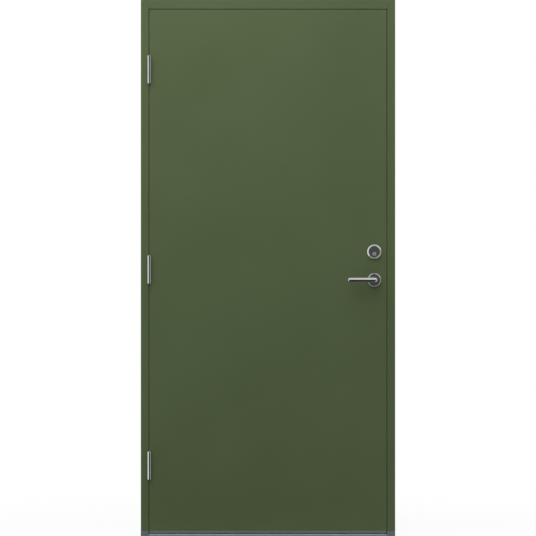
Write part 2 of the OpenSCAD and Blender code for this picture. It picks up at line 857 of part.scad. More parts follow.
module hinge_stile() {
    color(paint) difference() {
        block(-x_leaf, -x_leaf + hinge_stile_w, y_out + skin_t, y_leaf_in - skin_t, z_skin, z_leaf_top);
        for (z = hinge_z) plate_pocket(-x_leaf - eps, -x_leaf + plate_t, z);
        at_hinge_screws(1) screw_room(screw_d, screw_head_d, screw_len);
        tongue_groove();
    }
}

module lock_stile() {
    color(paint) difference() {
        block(x_leaf - lock_stile_w, x_leaf, y_out + skin_t, y_leaf_in - skin_t, z_skin, z_leaf_top);
        leaf_holes();
        block(case_x - hole_room, forend_x + eps, lock_y - case_t / 2, lock_y + case_t / 2,
            lock_z - case_h / 2 - seat_clear, lock_z + case_h / 2 + seat_clear);
        translate([x_leaf - forend_t / 2 + eps / 2, lock_y, lock_z]) along_x(forend_t + eps)
            slot_outline(forend_w + 2 * seat_clear, forend_h + 2 * seat_clear);
        at_forend_screws() screw_room(screw_d, screw_head_d, screw_len);
        tongue_groove();
    }
}

module top_rail() {
    color(pine) block(-x_leaf + hinge_stile_w, x_leaf - lock_stile_w, y_out + skin_t, y_leaf_in - skin_t,
        z_leaf_top - top_rail_h, z_leaf_top);
}

module bottom_rail() {
    color(pine) difference() {
        block(-x_leaf + hinge_stile_w, x_leaf - lock_stile_w, y_out + skin_t, y_leaf_in - skin_t,
            z_skin, z_skin + bottom_rail_h);
        tongue_groove();
    }
}

module insulation_core() {
    color(foam) block(-x_leaf + hinge_stile_w, x_leaf - lock_stile_w, y_out + skin_t, y_leaf_in - skin_t,
        z_skin + bottom_rail_h, z_leaf_top - top_rail_h);
}

// Hollow strip under the leaf, held by a tongue
module bottom_strip() {
    chambers = 3;
    chamber_d = (leaf_t - (chambers + 1) * strip_wall) / chambers;
    color(aluminium) along_x(2 * x_leaf) {
        difference() {
            translate([y_out, leaf_lift]) square([leaf_t, strip_h]);
            for (i = [0:chambers - 1]) {
                translate([y_out + strip_wall + i * (chamber_d + strip_wall), leaf_lift + strip_wall])
                    square([chamber_d, strip_h - 2 * strip_wall]);
            }
        }
        translate([lock_y - tongue_t / 2, z_skin - strip_wall / 2])
            square([tongue_t, tongue_h + strip_wall / 2]);
    }
}

// Rubber lip under the front of the strip, which keeps driving rain off the bed
module drip_seal() {
    front = y_out + strip_wall;
    color(black_rubber) along_x(2 * x_leaf) polygon([
        [front, leaf_lift], [front, lip_h + drip_gap], [front + drip_t, lip_h + drip_gap],
        [front + drip_t, leaf_lift - drip_t / 2], [front + drip_w, leaf_lift - drip_t / 2],
        [front + drip_w, leaf_lift]
    ]);
}

// Lock

module forend_windows(grow) {
    block(forend_x - eps, x_leaf + eps, lock_y - head_t / 2 - grow, lock_y + head_t / 2 + grow,
        latch_z - latch_h / 2 - grow, latch_z + latch_h / 2 + grow);
    block(forend_x - eps, x_leaf + eps, lock_y - head_t / 2 - grow, lock_y + head_t / 2 + grow,
        bolt_z - bolt_h / 2 - grow, bolt_z + bolt_h / 2 + grow);
}

module lock_forend() {
    color(steel) difference() {
        translate([x_leaf - forend_t / 2, lock_y, lock_z]) along_x(forend_t) slot_outline(forend_w, forend_h);
        forend_windows(slide_clear);
        at_forend_screws() screw_room(screw_d, screw_head_d, screw_len);
    }
}

// Holes through the sides of the lock case
module case_holes() {
    disc_y(spindle_x, handle_z, follower_r + run_clear, y_out, y_leaf_in);
    disc_y(spindle_x, plug_z, cam_r + run_clear, y_out, y_leaf_in);
    at_rose_bolts() screw_room(bolt_d, bolt_d, rose_bolt_len);
    at_cylinder_screws() screw_room(bolt_d, bolt_d, cylinder_screw_len);
}

// Tray of the lock with the tab that the latch spring bears on
module lock_case() {
    tab_x = latch_back - spring_len;
    color(steel) difference() {
        union() {
            difference() {
                block(case_x, forend_x, lock_y - case_t / 2, lock_y + case_in,
                    lock_z - case_h / 2, lock_z + case_h / 2);
                block(case_x + case_wall, forend_x + eps, lock_y - case_in, lock_y + case_t,
                    lock_z - case_h / 2 + case_wall, lock_z + case_h / 2 - case_wall);
            }
            block(tab_x - case_wall, tab_x, lock_y - case_t / 2, lock_y + case_in,
                spring_z - spring_d / 2, spring_z + spring_d / 2 + 1);
        }
        case_holes();
    }
}

module lock_cover() {
    color(steel) difference() {
        block(case_x, forend_x, lock_y + case_in, lock_y + case_t / 2,
            lock_z - case_h / 2, lock_z + case_h / 2);
        case_holes();
    }
}

// Point on the spring's wire: t runs along the coil, a around the wire
function spring_point(t, a) =
    let (turn = 360 * spring_turns * t, r = (spring_d - spring_wire) / 2 + spring_wire / 2 * cos(a))
    [t * (spring_len - spring_wire) + spring_wire / 2 + spring_wire / 2 * sin(a),
        r * cos(turn), r * sin(turn)];

// Coil spring between the tab of the lock case and the latch bolt
module latch_spring() {
    rings = spring_turns * 14;
    sides = 8;
    points = [for (i = [0:rings], j = [0:sides - 1]) spring_point(i / rings, -360 * j / sides)];
    walls = [for (i = [0:rings - 1], j = [0:sides - 1])
        let (k = (j + 1) % sides)
        [i * sides + j, i * sides + k, (i + 1) * sides + k, (i + 1) * sides + j]];
    ends = [[for (j = [sides - 1:-1:0]) j], [for (j = [0:sides - 1]) rings * sides + j]];
    color(steel) translate([latch_back - spring_len, lock_y, spring_z])
        polyhedron(points, concat(walls, ends));
}

// Head with its nose bevelled on the inner side, and a tail that hooks behind the follower's arm
module latch_bolt() {
    nose = x_leaf + latch_throw;
    color(steel) {
        translate([0, lock_y, 0]) along_z(latch_z - latch_h / 2, latch_z + latch_h / 2) polygon([
            [latch_back, -head_t / 2], [nose, -head_t / 2], [nose, -head_t / 2 + latch_nose],
            [x_leaf, head_t / 2], [latch_back, head_t / 2]
        ]);
        block(hook_x - hook_t, latch_back + eps, lock_y + tail_y[0], lock_y + tail_y[1],
            tail_low_z, tail_high_z);
        block(hook_x - hook_t, hook_x, lock_y + arm_y[0], lock_y + tail_y[1], tail_low_z, tail_high_z);
    }
}

// Hub that turns in the lock case, with a square hole and the arm that draws the latch
module follower() {
    color(brass) difference() {
        union() {
            disc_y(spindle_x, handle_z, follower_r, lock_y - case_t / 2, lock_y + case_t / 2);
            block(spindle_x - arm_w / 2, spindle_x + arm_w / 2, lock_y + arm_y[0], lock_y + arm_y[1],
                handle_z, handle_z + arm_r);
        }
        square_hole(lock_y - case_t, lock_y + case_t);
    }
}

module square_hole(y0, y1) {
    w = spindle_w / 2 + seat_clear;
    block(spindle_x - w, spindle_x + w, y0, y1, handle_z - w, handle_z + w);
}

// Head flush with the forend at rest, and a forked tail that the cam's pin drives
module dead_bolt() {
    pin_x = spindle_x - bolt_throw / 2;
    half = cam_pin_d / 2 + fork_clear;
    bolt_back = x_leaf - bolt_body;
    color(steel) {
        block(bolt_back, x_leaf, lock_y - head_t / 2, lock_y + head_t / 2,
            bolt_z - bolt_h / 2, bolt_z + bolt_h / 2);
        block(pin_x - half - fork_wall, bolt_back + eps, lock_y + tail_y[0], lock_y + tail_y[1],
            fork_low_z - fork_bar_h, fork_low_z);
        for (x = [pin_x - half - fork_wall, pin_x + half]) {
            block(x, x + fork_wall, lock_y + tail_y[0], lock_y + tail_y[1], fork_low_z - eps, fork_top_z);
        }
    }
}

// Hub with a slot for the tailpieces and a crank pin, at rest to the lower left
module bolt_cam() {
    pin_x = spindle_x - crank_r * sin(45);
    pin_z = plug_z - crank_r * cos(45);
    color(brass) difference() {
        union() {
            disc_y(spindle_x, plug_z, cam_r, lock_y - case_t / 2, lock_y + case_t / 2);
            along_y(lock_y + arm_y[0], lock_y + arm_y[1]) {
                translate([pin_x, pin_z]) circle(cam_pin_d / 2 + cam_wall);
                translate([spindle_x, plug_z]) rotate(-135) translate([0, -cam_pin_d / 2 - cam_wall])
                    square([crank_r, cam_pin_d + 2 * cam_wall]);
            }
            disc_y(pin_x, pin_z, cam_pin_d / 2, lock_y + arm_y[0], lock_y + tail_y[1]);
        }
        tail_room(lock_y - case_t, lock_y + case_t);
    }
}

// Flat tailpiece on the plug's axis, and the room for it
module tailpiece(y0, y1) {
    block(spindle_x - tail_t / 2, spindle_x + tail_t / 2, y0, y1, plug_z - tail_w / 2, plug_z + tail_w / 2);
}

module tail_room(y0, y1) {
    t = tail_t / 2 + seat_clear;
    w = tail_w / 2 + seat_clear;
    block(spindle_x - t, spindle_x + t, y0, y1, plug_z - w, plug_z + w);
}

module strike_plate() {
    color(steel) difference() {
        translate([x_jamb + strike_t / 2, lock_y, lock_z]) along_x(strike_t) slot_outline(strike_w, strike_h);
        block(x_jamb - eps, x_jamb + strike_t + eps,
            lock_y - head_t / 2 - slide_clear, lock_y + head_t / 2 + latch_room,
            latch_z - latch_h / 2 - window_room, latch_z + latch_h / 2 + window_room);
        block(x_jamb - eps, x_jamb + strike_t + eps,
            lock_y - head_t / 2 - window_room, lock_y + head_t / 2 + window_room,
            bolt_z - bolt_h / 2 - window_room, bolt_z + bolt_h / 2 + window_room);
        at_strike_screws() screw_room(screw_d, screw_head_d, screw_len);
    }
}

// Handle

// Half section of a rose: radius in X, height above the leaf in Y, bevelled rim
module rose_section(d, t, bevel, bore_d) {
    r = d / 2;
    polygon([[bore_d / 2, 0], [r, 0], [r, t - bevel], [r - bevel, t], [bore_d / 2, t]]);
}

// Mirrors what is drawn on the outside of the leaf to its inside
module to_inside() {
    translate([0, 2 * lock_y, 0]) mirror([0, 1, 0]) children();
}

module rose() {
    turned_out(spindle_x, handle_z) rose_section(rose_d, rose_t, rose_bevel, stub_d + 2 * run_clear);
}

module outside_rose() {
    color(steel) difference() {
        rose();
        at_rose_bolts() screw_room(bolt_d, bolt_head_d, rose_bolt_len);
    }
}

module inside_rose() {
    color(steel) difference() {
        to_inside() rose();
        at_rose_bolts() screw_room(bolt_d, bolt_head_d, rose_bolt_len);
    }
}

// Lever of one round bar: stub in the rose, neck, elbow, grip toward the hinges
module lever() {
    r = lever_d / 2;
    neck_y = y_out - rose_t - slide_clear;
    grip_y = y_out - lever_reach;
    difference() {
        union() {
            disc_y(spindle_x, handle_z, stub_d / 2, neck_y, y_out);
            disc_y(spindle_x, handle_z, r, grip_y + elbow_r, neck_y);
            translate([spindle_x - elbow_r, grip_y + elbow_r, handle_z])
                rotate(-90) rotate_extrude(angle = 90) translate([elbow_r, 0]) circle(r);
            translate([spindle_x - elbow_r, grip_y, handle_z]) rotate([0, -90, 0])
                rotate_extrude() grip_section(lever_len - elbow_r);
        }
        square_hole(neck_y - spindle_grip - collar_step, y_out + eps);
    }
}

// Half section of the grip, rounded at the tip
module grip_section(length) {
    r = lever_d / 2;
    square([r, length - tip_r]);
    square([r - tip_r, length]);
    translate([r - tip_r, length - tip_r]) intersection() {
        circle(tip_r);
        square(tip_r);
    }
}

module outside_lever() {
    color(steel) lever();
}

module inside_lever() {
    color(steel) to_inside() lever();
}

module spindle() {
    w = spindle_w / 2;
    y0 = y_out - rose_t - spindle_grip;
    color(steel) block(spindle_x - w, spindle_x + w, y0, 2 * lock_y - y0, handle_z - w, handle_z + w);
}

// Cylinder

// Ring with a bevelled rim, and a web that the cylinder's face clamps against the leaf
module cylinder_ring() {
    web = (face_d - barrel_d) / 2;
    color(steel) {
        turned_out(spindle_x, cylinder_z) rose_section(ring_d, ring_h, ring_bevel, face_d + 2 * ring_fit);
        turned_out(spindle_x, cylinder_z) translate([barrel_d / 2 + ring_fit, 0])
            square([web + eps, ring_web]);
    }
}

module cylinder_body() {
    color(steel) difference() {
        union() {
            disc_y(spindle_x, cylinder_z, face_d / 2, y_out - ring_h + face_sink, y_out - ring_web);
            disc_y(spindle_x, cylinder_z, barrel_d / 2, y_out - ring_web - eps, lock_y - case_t / 2);
        }
        disc_y(spindle_x, plug_z, plug_d / 2 + run_clear, y_out - ring_h - eps, lock_y);
        at_cylinder_screws() screw_room(bolt_d, bolt_head_d, cylinder_screw_len);
    }
}

module key_plug() {
    front = y_out - ring_h + plug_sink;
    color(brass) difference() {
        union() {
            disc_y(spindle_x, plug_z, plug_d / 2, front, lock_y - case_t / 2 - face_sink);
            tailpiece(lock_y - case_t / 2 - face_sink - eps, lock_y - tail_gap);
        }
        block(spindle_x - keyway_w / 2, spindle_x + keyway_w / 2, front - eps, front + keyway_d,
            plug_z - keyway_h / 2, plug_z + keyway_h / 2);
    }
}

module turn_rose() {
    color(steel) difference() {
        to_inside() turned_out(spindle_x, plug_z)
            rose_section(turn_rose_d, turn_rose_t, rose_bevel, turn_shaft_d + 2 * run_clear);
        at_cylinder_screws() screw_room(bolt_d, bolt_head_d, cylinder_screw_len);
    }
}

// Thumb turn: shaft in its rose, round collar, upright wing, tailpiece to the cam
module thumb_turn() {
    collar_y = y_leaf_in + turn_rose_t + slide_clear;
    color(steel) {
        disc_y(spindle_x, plug_z, turn_shaft_d / 2, y_leaf_in, collar_y + eps);
        disc_y(spindle_x, plug_z, turn_shaft_d / 2 + collar_step, collar_y, collar_y + collar_t);
        translate([spindle_x, collar_y + collar_t / 2 + wing_d / 2, plug_z])
            along_x(wing_t) round_rect(wing_d + collar_t, wing_h, wing_r);
        tailpiece(lock_y + tail_gap, y_leaf_in + eps);
    }
}

// Fasteners

module strike_screws() {
    color(steel) at_strike_screws() screw(screw_d, screw_head_d, screw_len);
}

module forend_screws() {
    color(steel) at_forend_screws() screw(screw_d, screw_head_d, screw_len);
}

module frame_hinge_screws() {
    color(steel) at_hinge_screws(-1) screw(screw_d, screw_head_d, screw_len);
}

module leaf_hinge_screws() {
    color(steel) at_hinge_screws(1) screw(screw_d, screw_head_d, screw_len);
}

module head_screws() {
    color(steel) at_head_screws() screw(screw_d, screw_head_d, corner_screw_len);
}

module sill_screws() {
    color(steel) at_sill_screws() screw(screw_d, screw_head_d, corner_screw_len);
}

module rose_bolts() {
    color(steel) at_rose_bolts() screw(bolt_d, bolt_head_d, rose_bolt_len - screw_fit);
}

module cylinder_screws() {
    color(steel) at_cylinder_screws() screw(bolt_d, bolt_head_d, cylinder_screw_len - screw_fit);
}

// Sleeve with a hexagon socket toward the leaf and a bore toward the wall
module fixing_sleeves() {
    color(steel) at_sleeves() difference() {
        cylinder(h = jamb_face, d = sleeve_d);
        translate([0, 0, -eps]) cylinder(h = jamb_face + 2 * eps, d = sleeve_bore);
        translate([0, 0, -eps]) cylinder(h = sleeve_hex_d + eps, d = sleeve_hex / cos(30), $fn = 6);
    }
}

hinge_jamb();
lock_jamb();
frame_head();
jamb_stop(-1);  // hinge_stop
jamb_stop(1);  // lock_stop
head_stop();
sill_outer();
sill_break();
sill_inner();
end_block(-1);  // end_block_hinge_side
end_block(1);  // end_block_lock_side
seal_side(-1);  // seal_hinge_side
seal_side(1);  // seal_lock_side
seal_level(seal_head_z, x_jamb);  // seal_head
seal_level(seal_sill_z, x_stop);  // seal_sill
strike_plate();
strike_screws();
fixing_sleeves();
head_screws();
sill_screws();
frame_hinge(hinge_z[0]);  // frame_hinge_bottom
frame_hinge(hinge_z[1]);  // frame_hinge_middle
frame_hinge(hinge_z[2]);  // frame_hinge_top
hinge_pins();
hinge_washers();
frame_hinge_screws();
outer_skin();
inner_skin();
hinge_stile();
lock_stile();
top_rail();
bottom_rail();
insulation_core();
bottom_strip();
drip_seal();
leaf_hinge(hinge_z[0]);  // leaf_hinge_bottom
leaf_hinge(hinge_z[1]);  // leaf_hinge_middle
leaf_hinge(hinge_z[2]);  // leaf_hinge_top
leaf_hinge_screws();
lock_case();
lock_cover();
lock_forend();
forend_screws();
latch_spring();
outside_rose();
inside_rose();
rose_bolts();
cylinder_ring();
cylinder_body();
turn_rose();
cylinder_screws();
outside_lever();
inside_lever();
spindle();
follower();
latch_bolt();
dead_bolt();
thumb_turn();
bolt_cam();
key_plug();
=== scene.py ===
import math

import bmesh
import bpy
from mathutils import Matrix, Vector


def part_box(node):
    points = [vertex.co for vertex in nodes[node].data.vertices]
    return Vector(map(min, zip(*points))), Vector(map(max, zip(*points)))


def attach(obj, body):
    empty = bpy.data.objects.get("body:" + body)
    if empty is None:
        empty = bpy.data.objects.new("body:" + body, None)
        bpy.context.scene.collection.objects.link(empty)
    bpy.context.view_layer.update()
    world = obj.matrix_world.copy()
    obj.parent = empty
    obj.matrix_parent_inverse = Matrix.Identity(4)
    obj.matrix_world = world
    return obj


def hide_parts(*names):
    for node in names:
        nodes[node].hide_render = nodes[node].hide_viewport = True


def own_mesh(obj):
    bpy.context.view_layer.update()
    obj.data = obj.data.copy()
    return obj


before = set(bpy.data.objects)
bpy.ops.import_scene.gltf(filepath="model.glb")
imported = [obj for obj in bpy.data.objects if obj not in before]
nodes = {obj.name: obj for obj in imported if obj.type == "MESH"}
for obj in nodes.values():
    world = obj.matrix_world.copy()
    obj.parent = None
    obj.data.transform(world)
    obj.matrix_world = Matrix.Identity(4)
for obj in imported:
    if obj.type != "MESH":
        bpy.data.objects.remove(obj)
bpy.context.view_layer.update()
scene = bpy.context.scene
scene.view_settings.view_transform = "Standard"
print("frame loaded:", len(nodes), "nodes")


class Wire:
    # one output socket; sums on it add Math nodes to its tree
    def __init__(self, board, socket):
        self.board, self.socket = board, socket

    def math(self, operation, first, second=0.0):
        return self.board.node("ShaderNodeMath", {"operation": operation}, {0: first, 1: second})

    def __add__(self, other):
        return self.math("ADD", self, other)

    def __sub__(self, other):
        return self.math("SUBTRACT", self, other)

    def __rsub__(self, other):
        return self.math("SUBTRACT", other, self)

    def __mul__(self, other):
        return self.math("MULTIPLY", self, other)

    __radd__ = __add__
    __rmul__ = __mul__

    def most(self, other):
        return self.math("MAXIMUM", self, other)

    def size(self):
        return self.math("ABSOLUTE", self)


class Board:
    # a node tree of a material, of the world or of geometry
    def __init__(self, tree):
        self.tree = tree

    def node(self, kind, settings=None, values=None, out=0):
        made = self.tree.nodes.new(kind)
        for key, value in (settings or {}).items():
            setattr(made, key, value)
        for key, value in (values or {}).items():
            self.put(made.inputs[key], value)
        return Wire(self, made.outputs[out])

    def put(self, socket, value):
        if isinstance(value, Wire):
            self.tree.links.new(value.socket, socket)
        else:
            socket.default_value = value

    def vector(self, operation, first, second=None, out=0):
        values = {0: first} if second is None else {0: first, 1: second}
        return self.node("ShaderNodeVectorMath", {"operation": operation}, values, out)

    def place(self, stretch=(1, 1, 1), centre=(0, 0, 0)):
        # object coordinates in metres, moved to a centre and stretched
        at = self.node("ShaderNodeTexCoord", out="Object")
        return self.vector("MULTIPLY", self.vector("SUBTRACT", at, centre), stretch)

    def length(self, at):
        return self.vector("LENGTH", at, out="Value")

    def parts(self, at, axes):
        return [self.node("ShaderNodeSeparateXYZ", None, {0: at}, axis) for axis in axes]

    def noise(self, at, scale=1.0, detail=2.0, rough=0.5):
        values = {"Vector": at, "Scale": scale, "Detail": detail, "Roughness": rough}
        return self.node("ShaderNodeTexNoise", None, values, "Fac")

    def blend(self, share, low, high):
        return self.node("ShaderNodeMix", {"data_type": "RGBA"}, {0: share, 6: low, 7: high}, 2)

    def span(self, value, low, high):
        # the part of a value between two limits, as 0 to 1
        values = {"Value": value, "From Min": low, "From Max": high}
        return self.node("ShaderNodeMapRange", {"interpolation_type": "SMOOTHSTEP"}, values)

    def tone(self, look, pattern):
        # from the look's dark to its light colour where a noise pattern rises
        return self.blend(self.span(pattern, 0.3, 0.7), look["dark"], look["light"])

    def bump(self, height, strength, distance, edge=0.0):
        values = {"Strength": strength, "Distance": distance, "Height": height}
        if edge:
            # rounds the light on sharp edges
            values["Normal"] = self.node("ShaderNodeBevel", {"samples": 4}, {"Radius": edge})
        return self.node("ShaderNodeBump", None, values)

    def rays(self):
        path = self.tree.nodes.new("ShaderNodeLightPath")
        kinds = ("Is Camera Ray", "Is Glossy Ray", "Is Transmission Ray")
        return [Wire(self, path.outputs[kind]) for kind in kinds]


def newLook(name, **fixed):
    material = bpy.data.materials.new(name)
    material.use_nodes = True
    board = Board(material.node_tree)
    shader = material.node_tree.nodes["Principled BSDF"]
    for key, value in fixed.items():
        shader.inputs[key.replace("_", " ")].default_value = value
    return material, board, shader.inputs


def rgb(red, green, blue):
    # colour as a picture shows it, 0 to 255
    def plain(v):
        v = v / 255
        return v / 12.92 if v <= 0.04045 else ((v + 0.055) / 1.055) ** 2.4
    return (plain(red), plain(green), plain(blue), 1)


def middle(name):
    low, high = (Vector(corner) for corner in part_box(name))
    return (low + high) / 2


# paint of leaf and frame
paint = {
    "dark": rgb(72, 86, 53), "light": rgb(76, 90, 57), "cloudScale": 2.3, "cloudShare": 0.8,
    "speckScale": 1900, "rough": 0.42, "driftScale": 9, "driftRough": 0.14, "peelRough": 0.05,
    "peelScale": 620, "peelBump": 0.25, "peelDepth": 0.00012,
}


def makePaint():
    p = paint
    material, board, sockets = newLook("greenPaint", IOR=1.48)
    at = board.place()
    cloud = board.noise(at, p["cloudScale"], 4, 0.55)
    speck = board.noise(at, p["speckScale"], 1)
    peel = board.noise(at, p["peelScale"], 2, 0.4)
    drift = board.noise(at, p["driftScale"], 3)
    pattern = cloud * p["cloudShare"] + speck * (1 - p["cloudShare"])
    rough = p["rough"] + (drift - 0.5) * p["driftRough"] + (peel - 0.5) * p["peelRough"]
    board.put(sockets["Base Color"], board.tone(p, pattern))
    board.put(sockets["Roughness"], rough)
    board.put(sockets["Normal"], board.bump(peel, p["peelBump"], p["peelDepth"]))
    return material


# drawn or brushed metal: streaks run along one axis
brushed = {
    "streakShare": 0.6, "smearScale": 35, "streakRough": 0.08, "smearRough": 0.06,
    "bump": 0.05, "depth": 0.00002, "edge": 0.0004,
    "looks": {
        "hingeSteel": {
            "dark": (0.67, 0.70, 0.70, 1), "light": (0.77, 0.80, 0.80, 1),
            "rough": 0.11, "grain": (1400, 1400, 9),
        },
        "leverSteel": {
            "dark": (0.60, 0.61, 0.60, 1), "light": (0.69, 0.70, 0.68, 1),
            "rough": 0.13, "grain": (9, 1500, 1500),
        },
        "plateSteel": {
            "dark": (0.55, 0.56, 0.55, 1), "light": (0.66, 0.67, 0.65, 1),
            "rough": 0.30, "grain": (1300, 1300, 7),
        },
    },
}


def makeBrushed(name, look):
    p = brushed
    material, board, sockets = newLook(name, Metallic=1.0)
    streak = board.noise(board.place(look["grain"]), 1, 3, 0.6)
    smear = board.noise(board.place(), p["smearScale"], 3, 0.6)
    pattern = streak * p["streakShare"] + smear * (1 - p["streakShare"])
    rough = look["rough"] + (streak - 0.5) * p["streakRough"] + (smear - 0.5) * p["smearRough"]
    board.put(sockets["Base Color"], board.tone(look, pattern))
    board.put(sockets["Roughness"], rough)
    board.put(sockets["Normal"], board.bump(streak, p["bump"], p["depth"], p["edge"]))
    return material


# anodised and coated profiles: a fine matt film over drawn metal, with painted shade at the foot and under
# the jambs
coated = {
    "grain": (3, 1100, 1100), "filmScale": 900, "streakShare": 0.7, "streakRough": 0.12, "filmRough": 0.08,
    "bumpShare": 0.6, "bump": 0.15, "depth": 0.00004, "edge": 0.0004,
    "footTop": 0.006, "footStart": 0.0018, "footBlur": 0.002, "footShade": 0.48,
    "jambSide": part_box("lock_stop")[0][0], "jambShade": (0.014, 0.010),
    "looks": {
        "sillAluminium": {
            "dark": rgb(142, 152, 170), "light": rgb(156, 166, 184), "rough": 0.42, "metal": 0.25,
        },
        "stripAluminium": {
            "dark": rgb(94, 105, 101), "light": rgb(104, 115, 111), "rough": 0.46, "metal": 0.15,
        },
    },
}


def makeCoated(name, look):
    p = coated
    material, board, sockets = newLook(name, Metallic=look["metal"], IOR=1.5)
    streak = board.noise(board.place(p["grain"]), 1, 3, 0.6)
    film = board.noise(board.place(), p["filmScale"], 2, 0.5)
    tone = board.tone(look, streak * p["streakShare"] + film * (1 - p["streakShare"]))
    across, height = board.parts(board.place(), "XZ")
    # painted shade: the colour turns dark towards the foot of the profile and at its ends under the jambs,
    # where shade falls
    raised = board.span(height + (film - 0.5) * p["footBlur"], p["footStart"], p["footTop"])
    between = board.span(across.size(), *(p["jambSide"] + past for past in p["jambShade"]))
    paintedShade = tuple(v * p["footShade"] for v in look["dark"][:3]) + (1,)
    rough = look["rough"] + (streak - 0.5) * p["streakRough"] + (film - 0.5) * p["filmRough"]
    relief = streak * p["bumpShare"] + film * (1 - p["bumpShare"])
    board.put(sockets["Base Color"], board.blend(raised * between, paintedShade, tone))
    board.put(sockets["Roughness"], rough)
    board.put(sockets["Normal"], board.bump(relief, p["bump"], p["depth"], p["edge"]))
    return material


# turned metal: fine rings about an axis along Y
turned = {
    "ringScale": 2600.0, "ringShare": 0.5, "smearScale": 60, "ringRough": 0.06, "smearRough": 0.06,
    "bump": 0.04, "depth": 0.00001, "edge": 0.0004,
    "looks": {
        "roseSteel": {
            "dark": (0.60, 0.60, 0.60, 1), "light": (0.72, 0.73, 0.72, 1),
            "rough": 0.16, "centre": middle("outside_rose"),
        },
        "ringSteel": {
            "dark": (0.72, 0.73, 0.71, 1), "light": (0.83, 0.84, 0.82, 1),
            "rough": 0.17, "centre": middle("cylinder_ring"),
        },
        "turnSteel": {
            "dark": (0.60, 0.60, 0.60, 1), "light": (0.72, 0.73, 0.72, 1),
            "rough": 0.18, "centre": middle("thumb_turn"),
        },
    },
}


def makeTurned(name, look):
    p = turned
    material, board, sockets = newLook(name, Metallic=1.0)
    radius = board.length(board.place((1, 0, 1), look["centre"]))
    values = {"W": radius, "Scale": p["ringScale"], "Detail": 2.0}
    ring = board.node("ShaderNodeTexNoise", {"noise_dimensions": "1D"}, values, "Fac")
    smear = board.noise(board.place(), p["smearScale"], 3, 0.6)
    pattern = ring * p["ringShare"] + smear * (1 - p["ringShare"])
    rough = look["rough"] + (ring - 0.5) * p["ringRough"] + (smear - 0.5) * p["smearRough"]
    board.put(sockets["Base Color"], board.tone(look, pattern))
    board.put(sockets["Roughness"], rough)
    board.put(sockets["Normal"], board.bump(ring, p["bump"], p["depth"], p["edge"]))
    return material


# zinc plated pieces of the lock, pins and screws, brass pieces and the key plug
plated = {
    "bloomScale": 80, "bloomShare": 0.6, "bloomRough": 0.2,
    "bump": 0.08, "depth": 0.00005, "edge": 0.0003,
    "looks": {
        "zincSteel": {
            "dark": (0.50, 0.50, 0.46, 1), "light": (0.64, 0.65, 0.66, 1),
            "rough": 0.36, "grainScale": 420, "metal": 1.0,
        },
        "brass": {
            "dark": (0.50, 0.35, 0.13, 1), "light": (0.70, 0.52, 0.24, 1),
            "rough": 0.32, "grainScale": 260, "metal": 1.0,
        },
        "plugNickel": {
            "dark": (0.36, 0.36, 0.35, 1), "light": (0.46, 0.46, 0.45, 1),
            "rough": 0.34, "grainScale": 600, "metal": 0.35,
        },
    },
}


def makePlated(name, look):
    p = plated
    material, board, sockets = newLook(name, Metallic=look["metal"])
    at = board.place()
    bloom = board.noise(at, p["bloomScale"], 4, 0.6)
    grain = board.noise(at, look["grainScale"], 2, 0.5)
    pattern = bloom * p["bloomShare"] + grain * (1 - p["bloomShare"])
    board.put(sockets["Base Color"], board.tone(look, pattern))
    board.put(sockets["Roughness"], look["rough"] + (bloom - 0.5) * p["bloomRough"])
    board.put(sockets["Normal"], board.bump(grain, p["bump"], p["depth"], p["edge"]))
    return material


# moulded plastic and rubber
moulded = {
    "cloudScale": 14, "grainRough": 0.14, "bump": 0.3, "edge": 0.0004,
    "looks": {
        "greyPlastic": {
            "dark": rgb(80, 93, 88), "light": rgb(94, 107, 101),
            "rough": 0.55, "grainScale": 2200, "depth": 0.00006,
        },
        "blackPlastic": {
            "dark": rgb(24, 25, 27), "light": rgb(36, 37, 40),
            "rough": 0.5, "grainScale": 2000, "depth": 0.00005,
        },
        "sealRubber": {
            "dark": rgb(18, 18, 19), "light": rgb(31, 31, 32),
            "rough": 0.62, "grainScale": 1500, "depth": 0.00004,
        },
    },
}


def makeMoulded(name, look):
    p = moulded
    material, board, sockets = newLook(name, IOR=1.5)
    at = board.place()
    grain = board.noise(at, look["grainScale"], 2, 0.5)
    cloud = board.noise(at, p["cloudScale"], 3)
    board.put(sockets["Base Color"], board.tone(look, cloud))
    board.put(sockets["Roughness"], look["rough"] + (grain - 0.5) * p["grainRough"])
    board.put(sockets["Normal"], board.bump(grain, p["bump"], look["depth"], p["edge"]))
    return material


# bare wood of the bottom rail
wood = {
    "early": rgb(214, 183, 134), "late": rgb(170, 122, 72), "turnsLate": (0.42, 0.66),
    "bend": (3, 30, 30), "grain": (4, 260, 180), "fibre": (20, 2600, 2600),
    "grainShare": 0.7, "bendShare": 0.15, "fibreShare": 0.15,
    "rough": 0.66, "fibreRough": 0.2, "bump": 0.2, "depth": 0.0001,
}


def makeWood():
    p = wood
    material, board, sockets = newLook("bareWood", IOR=1.45)
    bend = board.noise(board.place(p["bend"]), 1, 2)
    grain = board.noise(board.place(p["grain"]), 1, 3)
    fibre = board.noise(board.place(p["fibre"]), 1, 2)
    pattern = grain * p["grainShare"] + bend * p["bendShare"] + fibre * p["fibreShare"]
    late = board.span(pattern, *p["turnsLate"])
    board.put(sockets["Base Color"], board.blend(late, p["early"], p["late"]))
    board.put(sockets["Roughness"], p["rough"] + (fibre - 0.5) * p["fibreRough"])
    board.put(sockets["Normal"], board.bump(fibre, p["bump"], p["depth"]))
    return material


# mineral wool between the face sheets
wool = {
    "dark": rgb(122, 108, 62), "light": rgb(190, 174, 112), "fibre": (60, 900, 900), "fibreShare": 0.6,
    "clumpScale": 45, "rough": 0.95, "fibreRough": 0.08, "bump": 0.6, "depth": 0.0006,
}


